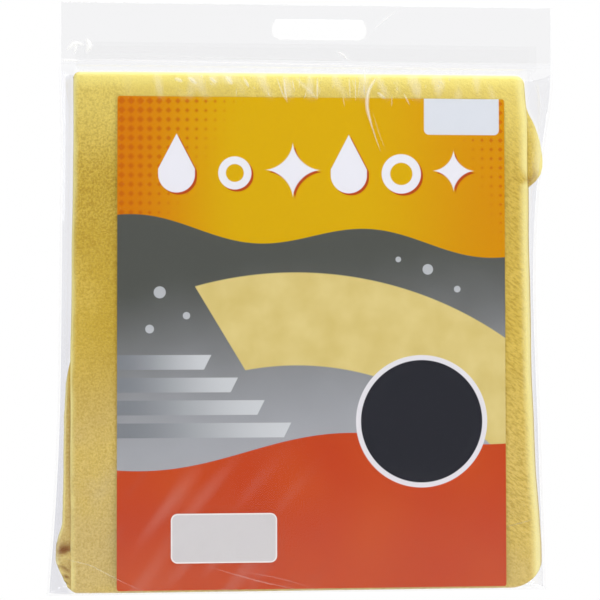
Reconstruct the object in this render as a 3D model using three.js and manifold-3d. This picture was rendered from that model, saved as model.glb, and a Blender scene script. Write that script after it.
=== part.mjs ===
// A folded chamois leather in its clear header bag, hanging by the slot in the header.
// Millimetres, +Z up, the front towards -Y. The origin is on the upper edge of the hang slot,
// above the middle of the bag, in the middle of the header's two plies.
import * as THREE from 'three';
import { mergeVertices } from 'three/addons/utils/BufferGeometryUtils.js';
import Module from 'manifold-3d';

const wasm = await Module();
wasm.setup();

// The skin, as it lies folded in four: once at the top edge and once at the right edge
const skinWidth = 277;
const skinHeight = 310.5;
const skinLayer = 2.4; // one layer of the soft napped leather
const skinAir = 2.8; // the air between two layers
const skinShift = -3; // the skin's middle, from the bag's middle
const skinInnerReach = 4.8; // how far the inner layers come out from under the top one at the left
const skinCurlReach = 9.6; // the same where their lower corner curls out
const skinLump = 4.6; // a corner of the skin that pushes out of the right edge
const skinLumpDrop = 55; // the lump's middle, below the skin's top edge
const skinLumpHeight = 42;
const skinFlare = 6.8; // how far the right edge swings out near the bottom
const skinCorner = 22; // the large round corner at the lower right
const skinTopCorner = 5;

// The printed card and the stuck-on label
const cardThick = 0.5;
const cardLeftMargin = 26.6; // leather that shows beside the card
const cardRightMargin = 15.7;
const cardTopMargin = 13.6;
const cardBottomMargin = 0.9; // the card stands almost at the skin's bottom edge
const cardCorner = 1.5;
const labelWidth = 63.5;
const labelHeight = 29.6;
const labelThick = 0.2;
const labelCorner = 4;
const labelInset = 32.1; // from the card's left edge
const labelRise = 16; // from the card's bottom edge

// The film and its welds. The film is drawn thicker than the real 0.08 mm
const film = 0.4;
const beadWidth = 1.2; // the cut-and-sealed edge at each side
const beadThick = 0.9;
const bagRoom = 11.5; // flat bag beyond the skin at each side
const waistSlack = 5.4; // the filled bag's edge beyond the skin at its waist
const leftFlare = 7.5; // how far the lower left corner of the bag stands out
const sideShoulder = 12; // width over which the film rounds over the contents
const frontShoulder = 2.2; // the same at the bottom, over the card's stiff edge
const backShoulder = 5;
const creaseDepth = 1.2; // the flat bottom fold
const creaseRoom = 1.9; // from the skin down to it

// The header
const headerRise = 9.5; // header above the slot
const weldDrop = 25; // the weld below the slot's upper edge
const weldBand = 3;
const weldThick = 0.5;
const weldRidge = 0.8; // each of the two pressed lines along the weld
const weldSlope = 0.2;
const mouthDrop = 5; // from the weld to the skin's top edge
const slotWidth = 57;
const slotHeight = 11.4;
const slotCorner = 4.8;
const slotShift = 6.5;

// The closing flap, the top end of the back panel, stuck up against the header's back
const flapSide = 10; // the flap's ends, from the bag's edges
const flapDrop = 2.6; // from the slot's lower edge down to the flap's end
const flapBend = 1.6;
const stripHeight = 8;
const stripThick = 0.3;
const stripInset = 5; // from the flap's edges

// Clearances
const seat = 0.3; // between two pieces that touch
const slideGap = 0.15; // between the header and what is pulled out behind it
const sweepBack = 45; // drop over which the side edges swing back from the header's plane
const lipRise = 1.5; // the back panel's top edge above the skin
const overrun = 5; // how far a cutter stands out of what it cuts

const smooth = (from, to, value) => THREE.MathUtils.smoothstep((value - from) / (to - from), 0, 1);
const mix = THREE.MathUtils.lerp;
const quarterTurn = Math.PI / 2;

// Depths, from the header at the front to the back panel
const plyInner = seat / 2;
const headerFilm = -(plyInner + film / 2);
const weldBack = plyInner + weldThick;
const labelFront = weldBack + slideGap;
const frontFilm = labelFront - seat - film / 2;
const cardFront = labelFront + labelThick + seat;
const skinFront = cardFront + cardThick + seat;
const skinThick = 4 * skinLayer + 3 * skinAir;
const skinMiddle = skinFront + skinThick / 2;
const backFilm = skinFront + skinThick + seat + film / 2;
const seamDepth = (frontFilm + backFilm) / 2;
const seamSplit = (film + seat) / 2;

// Heights
const weldBottom = -(weldDrop + weldBand);
const skinTop = weldBottom - mouthDrop;
const skinBottom = skinTop - skinHeight;
const skinLeft = skinShift - skinWidth / 2;
const skinRight = skinShift + skinWidth / 2;
const creaseTop = skinBottom - creaseRoom;
const bagBottom = creaseTop - creaseDepth;
const bagHalf = skinWidth / 2 + bagRoom;
const waistPull = bagHalf - (skinRight + waistSlack);

// How far the side edges leave the flat bag's edges, from the weld (0) to the crease (1): the place,
// the right edge's pull inwards at the waist, and the left edge's flare outwards
const edgeShares = [
  [0, 0, 0], [0.02, 0, 0], [0.04, 0, 0], [0.06, 0.02, 0], [0.085, 0.07, 0], [0.11, 0.15, 0],
  [0.145, 0.3, 0], [0.19, 0.55, 0.01], [0.24, 0.73, 0.02], [0.29, 0.88, 0.03], [0.35, 0.97, 0.04],
  [0.42, 1, 0.06], [0.5, 0.94, 0.09], [0.58, 0.85, 0.12], [0.66, 0.75, 0.18], [0.74, 0.67, 0.29],
  [0.82, 0.59, 0.46], [0.88, 0.52, 0.62], [0.94, 0.46, 0.81], [1, 0.41, 1],
];
// How much of the inner layers' reach shows at the left, from the skin's top (0) to its bottom (1)
const reachShares = [[0, 0], [0.5, 0], [0.58, 0.5], [0.66, 1], [0.84, 1], [0.9, 1], [1, 0.4]];
const curlShares = [[0, 0], [0.84, 0], [0.89, 0.35], [0.92, 1], [0.95, 0.7], [1, 0]];
// The heights that the skin is drawn at, from its bottom (0) to the fold at its top (1), closer
// together where it curls, bulges and rounds
const levelShares = [0, 0.05, 0.08, 0.11, 0.16, 0.34, 0.42, 0.5, 0.75, 0.82, 0.89, 1];
// How much of the right edge's flare shows, from the skin's top (0) to its bottom (1)
const flareShares = [[0, 0], [0.58, 0], [0.7, 0.3], [0.82, 0.6], [0.91, 1], [1, 1]];

const along = (shares, at, column = 1) => {
  const next = shares.findIndex(([place]) => place >= at);
  if (next < 1) return shares[next < 0 ? shares.length - 1 : 0][column];
  const [a, b] = [shares[next - 1], shares[next]];
  return mix(a[column], b[column], (at - a[0]) / (b[0] - a[0]));
};

const bagDown = (z) => THREE.MathUtils.clamp((weldBottom - z) / (weldBottom - creaseTop), 0, 1);
const skinDown = (z) => THREE.MathUtils.clamp((skinTop - z) / skinHeight, 0, 1);
const rightEdge = (z) => bagHalf - waistPull * along(edgeShares, bagDown(z));
const leftEdge = (z) => -bagHalf - leftFlare * along(edgeShares, bagDown(z), 2);
const seamAt = (z) => seamDepth * smooth(weldBottom, weldBottom - sweepBack, z);
const frontAt = (z) => mix(headerFilm, frontFilm, smooth(weldBottom, skinTop - cardTopMargin, z));
const bagLevels = edgeShares.map(([place]) => mix(weldBottom, creaseTop, place));

// Turns rings of points into one closed body. Each ring has as many points as the next, the rings
// are walled together, and the first and last are closed with the given triangles
function closedBody(rings, capTriangles) {
  const size = rings[0].length;
  const triangles = [];
  for (let r = 0; r + 1 < rings.length; r++) {
    for (let k = 0; k < size; k++) {
      const [a, b] = [r * size + k, r * size + ((k + 1) % size)];
      triangles.push(a, b, b + size, a, b + size, a + size);
    }
  }
  const last = (rings.length - 1) * size;
  for (const [a, b, c] of capTriangles) {
    triangles.push(c, b, a, last + a, last + b, last + c);
  }
  const geometry = new THREE.BufferGeometry();
  const places = rings.flat().flatMap((point) => [point.x, point.y, point.z]);
  geometry.setAttribute('position', new THREE.Float32BufferAttribute(places, 3));
  geometry.setIndex(signedVolume(places, triangles) < 0 ? triangles.reverse() : triangles);
  return geometry;
}

function signedVolume(places, triangles) {
  const corner = (n) => new THREE.Vector3().fromArray(places, triangles[n] * 3);
  let volume = 0;
  for (let n = 0; n < triangles.length; n += 3) {
    volume += corner(n).dot(corner(n + 1).cross(corner(n + 2)));
  }
  return volume;
}

// A thin sheet on a grid of points, rows by columns, with half its thickness on each side
function thinSheet(rows, thickness) {
  const normalAt = (r, c) => {
    const [up, down] = [rows[Math.max(r - 1, 0)][c], rows[Math.min(r + 1, rows.length - 1)][c]];
    const [west, east] = [rows[r][Math.max(c - 1, 0)], rows[r][Math.min(c + 1, rows[r].length - 1)]];
    const across = new THREE.Vector3().subVectors(east, west);
    return across.cross(new THREE.Vector3().subVectors(down, up)).normalize();
  };
  const rings = rows.map((row, r) => {
    const shift = (point, c, side) => point.clone().addScaledVector(normalAt(r, c), side * thickness / 2);
    const near = row.map((point, c) => shift(point, c, 1));
    const far = row.map((point, c) => shift(point, c, -1));
    return [...near, ...far.reverse()];
  });
  return closedBody(rings, ribbonCaps(rings[0].length));
}

// Closes a ring that runs along one side of a ribbon and back along the other
function ribbonCaps(size) {
  const caps = [];
  for (let k = 0; k + 1 < size / 2; k++) {
    const [a, b, c, d] = [k, k + 1, size - 2 - k, size - 1 - k];
    caps.push([a, b, c], [a, c, d]);
  }
  return caps;
}

function solid(geometry) {
  const plain = geometry.clone();
  plain.deleteAttribute('normal');
  plain.deleteAttribute('uv');
  const merged = mergeVertices(plain);
  return new wasm.Manifold(new wasm.Mesh({
    numProp: 3,
    vertProperties: new Float32Array(merged.attributes.position.array),
    triVerts: new Uint32Array(merged.index.array),
  }));
}

function geometryOf(manifold) {
  const mesh = manifold.getMesh();
  const geometry = new THREE.BufferGeometry();
  geometry.setAttribute('position', new THREE.BufferAttribute(mesh.vertProperties, 3));
  geometry.setIndex(new THREE.BufferAttribute(mesh.triVerts, 1));
  return geometry;
}

// A rectangle with round corners, drawn around its middle
function roundedRectangle(Outline, middleX, middleZ, width, height, corner) {
  const outline = new Outline();
  const [x, z] = [width / 2 - corner, height / 2 - corner];
  outline.absarc(middleX + x, middleZ + z, corner, 0, quarterTurn);
  outline.absarc(middleX - x, middleZ + z, corner, quarterTurn, 2 * quarterTurn);
  outline.absarc(middleX - x, middleZ - z, corner, 2 * quarterTurn, 3 * quarterTurn);
  outline.absarc(middleX + x, middleZ - z, corner, 3 * quarterTurn, 4 * quarterTurn);
  outline.closePath();
  return outline;
}

// A flat plate that stands upright, from the front depth backwards
function uprightPlate(shape, front, thickness, curveSegments) {
  const plate = new THREE.ExtrudeGeometry(shape, { depth: thickness, bevelEnabled: false, curveSegments });
  plate.rotateX(quarterTurn);
  return plate.translate(0, front + thickness, 0);
}

function filmMaterial(color, opacity) {
  return new THREE.MeshStandardMaterial({ color, roughness: 0.12, metalness: 0, transparent: true, opacity });
}
const clearFilm = filmMaterial(0xeef1f4, 0.3);
const weldedFilm = filmMaterial(0xffffff, 0.6);
const glue = filmMaterial(0xf4f6f2, 0.5);
const leather = new THREE.MeshStandardMaterial({ color: 0xdcc47a, roughness: 0.95, metalness: 0 });
const printedCard = new THREE.MeshStandardMaterial({ color: 0xd9a318, roughness: 0.35, metalness: 0 });
const whitePaper = new THREE.MeshStandardMaterial({ color: 0xe4e4e8, roughness: 0.6, metalness: 0 });

// The film's columns over one row: round over the left shoulder, flat, and round over the right one.
// The side is -1 for the front panel and 1 for the back one
function filmRow(z, depth, share, side) {
  const shoulderSteps = 6;
  const flatSteps = 4;
  const left = leftEdge(z) + beadWidth + seat + film / 2;
  const right = rightEdge(z) - beadWidth - seat - film / 2;
  const places = [];
  for (let k = 0; k <= shoulderSteps; k++) {
    const turn = (k / shoulderSteps) * quarterTurn;
    places.push([left + sideShoulder * (1 - Math.cos(turn)), Math.sin(turn)]);
  }
  for (let k = 1; k < flatSteps; k++) {
    places.push([mix(left + sideShoulder, right - sideShoulder, k / flatSteps), 1]);
  }
  for (let k = shoulderSteps; k >= 0; k--) {
    const turn = (k / shoulderSteps) * quarterTurn;
    places.push([right - sideShoulder * (1 - Math.cos(turn)), Math.sin(turn)]);
  }
  const edge = seamAt(z) + side * seamSplit;
  return places.map(([x, full]) => new THREE.Vector3(x, mix(edge, depth, full * share), z));
}

// The rows that round over the contents' bottom edge into the crease
function bottomRows(depth, shoulder, side) {
  const steps = 5;
  const lowest = creaseTop + seat + film / 2;
  const rows = [];
  for (let k = steps; k >= 0; k--) {
    const turn = (k / steps) * quarterTurn;
    rows.push(filmRow(lowest + shoulder * (1 - Math.cos(turn)), depth, Math.sin(turn), side));
  }
  return rows;
}

function slotCutter() {
  const outline = roundedRectangle(THREE.Shape, slotShift, -slotHeight / 2, slotWidth, slotHeight, slotCorner);
  return uprightPlate(outline, -overrun, 2 * overrun, 6);
}

// The front panel and the header's front ply are one film
function frontPanel() {
  const lowest = creaseTop + seat + film / 2 + frontShoulder;
  const levels = [headerRise, ...bagLevels.filter((z) => z > lowest)];
  const rows = levels.map((z) => filmRow(z, frontAt(z), 1, -1));
  rows.push(...bottomRows(frontFilm, frontShoulder, -1));
  return geometryOf(solid(thinSheet(rows, film)).subtract(solid(slotCutter())));
}

function backPanel() {
  const lip = skinTop + lipRise;
  const lowest = creaseTop + seat + film / 2 + backShoulder;
  const levels = [lip, ...bagLevels.filter((z) => z < lip && z > lowest)];
  const rows = levels.map((z) => filmRow(z, backFilm, 1, 1));
  rows.push(...bottomRows(backFilm, backShoulder, 1));
  return thinSheet(rows, film);
}

// The hot-cut edge at one side: a bead that runs from the header's top to the bag's bottom
function sideBead(edgeAt, inward) {
  const rings = [headerRise, ...bagLevels, bagBottom].map((z) => {
    const [outer, inner] = [edgeAt(z), edgeAt(z) + inward * beadWidth];
    const [front, back] = [seamAt(z) - beadThick / 2, seamAt(z) + beadThick / 2];
    return [[outer, front], [inner, front], [inner, back], [outer, back]]
      .map(([x, y]) => new THREE.Vector3(x, y, z));
  });
  return closedBody(rings, [[0, 1, 2], [0, 2, 3]]);
}

// The flat fold along the bag's bottom, between the two beads
function bottomFold() {
  const left = leftEdge(bagBottom) + beadWidth + seat;
  const right = rightEdge(bagBottom) - beadWidth - seat;
  const fold = new THREE.BoxGeometry(right - left, 2 * film + seat, creaseDepth);
  return fold.translate((left + right) / 2, seamDepth, bagBottom + creaseDepth / 2);
}

function headerBackPly() {
  const half = bagHalf - beadWidth - seat;
  const bottom = -weldDrop + seat;
  const shape = new THREE.Shape([
    new THREE.Vector2(-half, bottom), new THREE.Vector2(half, bottom),
    new THREE.Vector2(half, headerRise), new THREE.Vector2(-half, headerRise),
  ]);
  shape.holes.push(roundedRectangle(THREE.Path, slotShift, -slotHeight / 2, slotWidth, slotHeight, slotCorner));
  return uprightPlate(shape, plyInner, film, 6);
}

// The weld below the header: a flat band with two pressed lines along it
function headerWeld() {
  const half = bagHalf - beadWidth - seat;
  const floor = weldBack - weldThick / 2;
  const profile = [[0, weldBack], [weldRidge, weldBack], [weldRidge + weldSlope, floor],
    [weldBand - weldRidge - weldSlope, floor], [weldBand - weldRidge, weldBack], [weldBand, weldBack]];
  const ring = (x) => [
    ...profile.map(([drop, back]) => new THREE.Vector3(x, back, -weldDrop - drop)),
    ...profile.map(([drop]) => new THREE.Vector3(x, plyInner, -weldDrop - drop)).reverse(),
  ];
  return closedBody([ring(-half), ring(half)], ribbonCaps(2 * profile.length));
}

// The flap crosses over the skin's top edge and stands up against the header
const flapFront = plyInner + film + seat + stripThick + seat + film / 2;
const flapFoot = skinTop + lipRise + seat;
const flapCross = weldBottom - film;
const flapTip = -(slotHeight + flapDrop);
function closingFlap() {
  const bendSteps = 4;
  const path = [new THREE.Vector2(backFilm, flapFoot)];
  for (let k = 0; k <= bendSteps; k++) {
    const turn = (k / bendSteps) * quarterTurn;
    path.push(new THREE.Vector2(
      backFilm - flapBend * (1 - Math.cos(turn)), flapCross - flapBend + flapBend * Math.sin(turn)));
  }
  for (let k = 0; k <= bendSteps; k++) {
    const turn = (k / bendSteps) * quarterTurn;
    path.push(new THREE.Vector2(
      flapFront + flapBend * (1 - Math.sin(turn)), flapCross + flapBend * (1 - Math.cos(turn))));
  }
  path.push(new THREE.Vector2(flapFront, flapTip));
  const half = bagHalf - flapSide;
  const rows = path.map((point) => [-half, half].map((x) => new THREE.Vector3(x, point.x, point.y)));
  return thinSheet(rows, film);
}

function adhesiveStrip() {
  const half = bagHalf - flapSide - stripInset;
  const strip = new THREE.BoxGeometry(2 * half, stripThick, stripHeight);
  const back = flapFront - film / 2 - seat;
  return strip.translate(0, back - stripThick / 2, flapTip - stripInset / 2 - stripHeight / 2);
}

const cardLeft = skinLeft + cardLeftMargin;
const cardBottom = skinBottom + cardBottomMargin;
function insertCard() {
  const right = skinRight - cardRightMargin;
  const top = skinTop - cardTopMargin;
  const outline = roundedRectangle(THREE.Shape, (cardLeft + right) / 2, (top + cardBottom) / 2,
    right - cardLeft, top - cardBottom, cardCorner);
  return uprightPlate(outline, cardFront, cardThick, 4);
}

function sizeLabel() {
  const middleX = cardLeft + labelInset + labelWidth / 2;
  const middleZ = cardBottom + labelRise + labelHeight / 2;
  const outline = roundedRectangle(THREE.Shape, middleX, middleZ, labelWidth, labelHeight, labelCorner);
  return uprightPlate(outline, labelFront, labelThick, 5);
}

// One section across the fold at the top: an outer (+) and an inner (-) layer, joined by the fold. It
// runs along the outer face and back along the air between them. The first number is the distance
// from the middle of the pair, the second the height
const footShare = 0.25; // how far a layer's cut foot is rounded in from each face
function topFoldSection() {
  const bend = 4;
  const half = skinLayer + skinAir / 2;
  const round = skinLayer / 4;
  const springLine = skinTop - half;
  const face = (radius, share) => {
    const foot = mix(half, skinAir / 2, share);
    const points = [[foot, skinBottom]];
    for (const level of levelShares) {
      points.push([radius, mix(skinBottom + round, springLine, level)]);
    }
    for (let k = 1; k < bend; k++) {
      const turn = (k / bend) * 2 * quarterTurn;
      points.push([radius * Math.cos(turn), springLine + radius * Math.sin(turn)]);
    }
    for (const level of [...levelShares].reverse()) {
      points.push([-radius, mix(skinBottom + round, springLine, level)]);
    }
    points.push([-foot, skinBottom]);
    return points;
  };
  return [...face(half, footShare), ...face(skinAir / 2, 1 - footShare).reverse()];
}

// The pair of layers runs from the left edge, round the fold at the right, and back: places of its
// middle and the way its outer side faces
function sideFoldStations() {
  const straightSteps = 6;
  const bend = 7;
  const radius = skinThick / 2 - skinLayer - skinAir / 2;
  const centre = skinRight - skinThick / 2;
  const stations = [];
  for (let k = 0; k < straightSteps; k++) {
    stations.push({ x: mix(skinLeft, centre, k / straightSteps), y: skinMiddle - radius, turn: -quarterTurn });
  }
  for (let k = 0; k <= bend; k++) {
    const turn = mix(-quarterTurn, quarterTurn, k / bend);
    stations.push({ x: centre + radius * Math.cos(turn), y: skinMiddle + radius * Math.sin(turn), turn });
  }
  for (let k = straightSteps - 1; k >= 0; k--) {
    stations.push({ x: mix(skinLeft, centre, k / straightSteps), y: skinMiddle + radius, turn: quarterTurn });
  }
  return stations;
}

// Lets the folded skin lie as it does in the bag: pressed thinner at its open edges, with the inner
// layers peeking out and curling at the left, and the right edge swinging out to a round corner
const edgePressShare = 0.3;
const footPressShare = 0.4;
const pressWidth = 40;
const flareWidth = 70;
const lumpFlatShare = 0.2;
const cornerZoneShare = 2.5; // heights that a corner draws in, in its own radii
function settle(point, inner) {
  const leftness = smooth(skinLeft + pressWidth, skinLeft, point.x);
  const rightness = smooth(skinRight - flareWidth, skinRight - skinThick / 2, point.x);
  const outermost = smooth(skinRight - skinThick, skinRight, point.x);
  const z = mix(point.z, cornered(point.x, point.z), rightness);
  const down = skinDown(z);
  const press = (1 - edgePressShare * leftness)
    * (1 - footPressShare * smooth(skinBottom + 2 * pressWidth, skinBottom, z));
  const apex = 1 - smooth(lumpFlatShare * skinThick, skinThick / 2, Math.abs(point.y - skinMiddle));
  const lump = Math.exp(-(((skinTop - skinLumpDrop - z) / (skinLumpHeight / 2)) ** 2));
  const reach = inner ? skinInnerReach * along(reachShares, down)
    + (skinCurlReach - skinInnerReach) * along(curlShares, down) : 0;
  const swing = skinFlare * along(flareShares, down) + skinLump * lump * apex * outermost;
  return new THREE.Vector3(
    point.x - reach * leftness + swing * rightness, mix(skinMiddle, point.y, press), z);
}

// Draws the nearest heights in so that the right edge ends in a round corner at the top and the bottom
function cornered(x, z) {
  const low = z < (skinTop + skinBottom) / 2;
  const radius = low ? skinCorner : skinTopCorner;
  const past = THREE.MathUtils.clamp(x - (skinRight - radius), 0, radius);
  const drawn = radius - Math.sqrt(radius ** 2 - past ** 2);
  const away = low ? z - skinBottom : skinTop - z;
  const kept = Math.max(0, 1 - away / (cornerZoneShare * radius));
  return z + (low ? drawn : -drawn) * kept;
}

function chamoisLeather() {
  const section = topFoldSection();
  const rings = sideFoldStations().map(({ x, y, turn }) => section.map(([offset, z]) => settle(
    new THREE.Vector3(x + offset * Math.cos(turn), y + offset * Math.sin(turn), z), offset < 0)));
  return closedBody(rings, ribbonCaps(section.length));
}

const pack = new THREE.Group();
const add = (name, geometry, material) => {
  const mesh = new THREE.Mesh(geometry, material);
  mesh.name = name;
  pack.add(mesh);
};
add('chamois_leather', chamoisLeather(), leather);
add('insert_card', insertCard(), printedCard);
add('size_label', sizeLabel(), whitePaper);
add('bag_front_panel', frontPanel(), clearFilm);
add('bag_back_panel', backPanel(), clearFilm);
add('side_weld_left', sideBead(leftEdge, 1), weldedFilm);
add('side_weld_right', sideBead(rightEdge, -1), weldedFilm);
add('bottom_fold', bottomFold(), weldedFilm);
add('header_back_ply', headerBackPly(), clearFilm);
add('header_weld', headerWeld(), weldedFilm);
add('closing_flap', closingFlap(), clearFilm);
add('flap_adhesive_strip', adhesiveStrip(), glue);

export default pack;
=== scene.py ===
import math
import random

import bmesh
import bpy
from mathutils import Matrix, Vector, noise


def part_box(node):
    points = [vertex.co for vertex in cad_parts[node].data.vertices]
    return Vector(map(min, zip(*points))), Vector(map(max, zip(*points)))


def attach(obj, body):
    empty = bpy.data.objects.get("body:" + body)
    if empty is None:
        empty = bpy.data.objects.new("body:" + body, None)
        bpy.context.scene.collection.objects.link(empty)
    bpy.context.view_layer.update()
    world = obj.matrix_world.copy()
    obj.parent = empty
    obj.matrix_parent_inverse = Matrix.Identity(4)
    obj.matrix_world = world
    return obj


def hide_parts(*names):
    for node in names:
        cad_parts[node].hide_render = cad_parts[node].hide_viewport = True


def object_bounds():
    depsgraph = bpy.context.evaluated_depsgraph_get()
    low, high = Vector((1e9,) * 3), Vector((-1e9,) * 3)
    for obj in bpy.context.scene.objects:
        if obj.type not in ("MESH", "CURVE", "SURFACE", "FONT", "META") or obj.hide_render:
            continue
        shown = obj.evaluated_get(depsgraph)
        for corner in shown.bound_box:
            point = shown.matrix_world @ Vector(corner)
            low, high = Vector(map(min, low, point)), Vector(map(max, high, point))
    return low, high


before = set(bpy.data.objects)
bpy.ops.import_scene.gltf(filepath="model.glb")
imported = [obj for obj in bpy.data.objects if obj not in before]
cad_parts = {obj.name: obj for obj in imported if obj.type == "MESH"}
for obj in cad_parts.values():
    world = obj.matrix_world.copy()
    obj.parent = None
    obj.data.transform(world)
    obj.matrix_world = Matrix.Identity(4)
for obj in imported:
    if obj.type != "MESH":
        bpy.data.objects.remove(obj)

cad_low, cad_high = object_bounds()

# The camera stands 0.8 m in front of the hanging pack, a little to the left of its middle and
# looking very slightly up, as a fit to the corners of the card, label, slot and bag gives it
MM = 0.001
camera_distance = 0.8
camera_aim = Vector((-5.34, 0.8, -169.22)) * MM
camera_yaw = math.radians(3.5)
camera_pitch = math.radians(1.27)
camera_roll = math.radians(-0.084)
sensor_width = 36
lens_length = 79.62
nearest_seen = 0.01
ahead = Vector((
    math.sin(camera_yaw) * math.cos(camera_pitch),
    math.cos(camera_yaw) * math.cos(camera_pitch),
    math.sin(camera_pitch),
))
level = Vector((math.cos(camera_yaw), -math.sin(camera_yaw), 0))
above = level.cross(ahead)
across = level * math.cos(camera_roll) + above * math.sin(camera_roll)
upward = above * math.cos(camera_roll) - level * math.sin(camera_roll)
camera = bpy.data.objects.new("camera", bpy.data.cameras.new("camera"))
camera.data.sensor_width = sensor_width
camera.data.lens = lens_length
camera.data.clip_start = nearest_seen
turn = Matrix((across, upward, -ahead)).transposed().to_4x4()
camera.matrix_world = Matrix.Translation(camera_aim - ahead * camera_distance) @ turn
bpy.context.scene.collection.objects.link(camera)
bpy.context.scene.camera = camera

# The studio: an even white surround, soft lamps all round and a pale floor well below the pack.
# The floor is plain near the pack, where it takes the shadow, and as white as the surround further out
film_layers_seen = 32
surround_light = 0.7
white = (1, 1, 1, 1)
bpy.context.scene.view_settings.view_transform = "Standard"
bpy.context.scene.cycles.transparent_max_bounces = film_layers_seen


def tree_of(owner):
    """The emptied node tree of a material or world."""
    owner.use_nodes = True
    owner.node_tree.nodes.clear()
    return owner.node_tree


def new_material(name):
    material = bpy.data.materials.new(name)
    return material, tree_of(material)


class Field:
    """A number that changes over a surface, worked out by nodes."""

    def __init__(self, tree, socket):
        self.tree, self.socket = tree, socket

    def math(self, operation, *others):
        values = dict(enumerate((self, *others)))
        return Field(self.tree, made(self.tree, "Math", values, operation=operation))

    def __add__(self, other):
        return self.math("ADD", other)

    def __sub__(self, other):
        return self.math("SUBTRACT", other)

    def __mul__(self, other):
        return self.math("MULTIPLY", other)

    def size(self):
        return self.math("ABSOLUTE")

    def most(self, other):
        return self.math("MAXIMUM", other)

    def least(self, other):
        return self.math("MINIMUM", other)

    def ramp(self, low, high, first=0, last=1):
        """Turns one range of the number into another, with soft ends."""
        return Field(self.tree, made(self.tree, "MapRange", {
            "Value": self, "From Min": low, "From Max": high, "To Min": first, "To Max": last,
        }, interpolation_type="SMOOTHSTEP"))

    def inside(self, edge=0.25):
        """1 where a signed distance in mm is below zero, with a soft printed edge."""
        return self.ramp(-edge, edge, 1, 0)

    def blend(self, first, second):
        """The first colour where the number is 0 and the second where it is 1."""
        return wire(self.tree, "Mix", {0: self, 6: first, 7: second}, data_type="RGBA").outputs[2]


def wire(tree, kind, inputs=None, **settings):
    """A new shader node with its settings, and with each input set to a value or joined to a socket."""
    node = tree.nodes.new("ShaderNode" + kind)
    for name, value in settings.items():
        setattr(node, name, value)
    for name, value in (inputs or {}).items():
        value = value.socket if isinstance(value, Field) else value
        if isinstance(value, bpy.types.NodeSocket):
            tree.links.new(value, node.inputs[name])
        else:
            node.inputs[name].default_value = value
    return node


def made(tree, kind, inputs=None, **settings):
    """What a new shader node makes, at its first output."""
    return wire(tree, kind, inputs, **settings).outputs[0]


def own_place(tree):
    return wire(tree, "TexCoord").outputs["Object"]


def mixed_shader(tree, share, first, second):
    return made(tree, "MixShader", {0: share, 1: first, 2: second})


def show(tree, shader, kind="Material"):
    """Joins a shader to the output of its material or world."""
    wire(tree, "Output" + kind, {"Surface": shader})


def seen_directly(tree):
    """1 for what the camera sees, also in a mirror or through glass, and 0 for light that is thrown on."""
    rays = wire(tree, "LightPath").outputs
    kinds = ("Is Camera Ray", "Is Glossy Ray", "Is Transmission Ray")
    straight, mirrored, through = (Field(tree, rays[kind]) for kind in kinds)
    return straight.most(mirrored).most(through)


surround = bpy.data.worlds.new("surround")
bpy.context.scene.world = surround
tree = tree_of(surround)
lit = made(tree, "Background", {"Color": white, "Strength": surround_light})
seen = made(tree, "Background", {"Color": white, "Strength": 1})
show(tree, mixed_shader(tree, seen_directly(tree), lit, seen), "World")


def lamp(name, place, faces, width, watts):
    """A soft square lamp that faces a point."""
    data = bpy.data.lights.new(name, "AREA")
    data.shape = "SQUARE"
    data.size = width
    data.energy = watts
    light = bpy.data.objects.new(name, data)
    light.location = place
    light.rotation_euler = (Vector(faces) - Vector(place)).to_track_quat("-Z", "Y").to_euler()
    bpy.context.scene.collection.objects.link(light)


middle = (cad_low + cad_high) / 2
lamp("key_lamp", place=(-0.55, -0.95, 0.55), faces=middle, width=0.55, watts=2.2)
lamp("fill_lamp", place=(0.85, -0.8, 0.1), faces=middle, width=0.7, watts=1.9)
lamp("top_lamp", place=(0.05, -0.04, 0.5), faces=(middle.x, middle.y, cad_high.z), width=0.5, watts=4)
lamp("back_lamp", place=(0.3, 1.1, 0.35), faces=middle, width=0.8, watts=5)


def finish_mesh(name, shape, smooth_faces=True):
    """Turns a bmesh into a linked object with smooth or flat faces."""
    data = bpy.data.meshes.new(name)
    shape.to_mesh(data)
    shape.free()
    data.polygons.foreach_set("use_smooth", [smooth_faces] * len(data.polygons))
    piece = bpy.data.objects.new(name, data)
    bpy.context.scene.collection.objects.link(piece)
    return piece


floor_drop = 70 * MM
floor_half = 4
floor_grey = (0.9, 0.9, 0.9, 1)
floor_roughness = 0.9
shadow_reach = 0.32
shadow_full_share = 0.6
floor_middle = (middle.x, middle.y, cad_low.z - floor_drop)
shape = bmesh.new()
bmesh.ops.create_grid(shape, x_segments=1, y_segments=1, size=floor_half)
bmesh.ops.translate(shape, verts=shape.verts, vec=floor_middle)
floor = finish_mesh("floor", shape, smooth_faces=False)
material, tree = new_material("pale_floor")
away = wire(tree, "VectorMath", {0: own_place(tree), 1: floor_middle}, operation="DISTANCE").outputs["Value"]
far = Field(tree, away).ramp(shadow_reach * shadow_full_share, shadow_reach)
plain = made(tree, "BsdfPrincipled", {"Base Color": floor_grey, "Roughness": floor_roughness})
lit_white = made(tree, "Emission", {"Color": white, "Strength": 1})
show(tree, mixed_shader(tree, far * seen_directly(tree), plain, lit_white))
floor.data.materials.append(material)

# The chamois: one soft napped skin, folded down at its top and then round at the right, so that four
# layers lie in the bag. The front layer is whole and the ragged rest of the hide is folded inside.
# Its lower left corner curls out, and a corner of it pushes out at the right
skin_left = -142.6 * MM
skin_right = 136.9 * MM
skin_top = -31.2 * MM
skin_bottom = -344.6 * MM
skin_front = 2.1 * MM
skin_depth = 18 * MM
skin_thick = 1.3 * MM
pair_spread = 3.0 * MM
skin_height = skin_top - skin_bottom
skin_middle = skin_front + skin_depth / 2
pair_middle = skin_depth / 2 - pair_spread - skin_thick / 2
fold_centre = skin_right - skin_depth / 2


def smooth(low, high, value):
    """0 up to low, 1 from high on and soft between them. Where high is the lower one it runs down."""
    share = min(max((value - low) / (high - low), 0), 1)
    return share * share * (3 - 2 * share)


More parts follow.
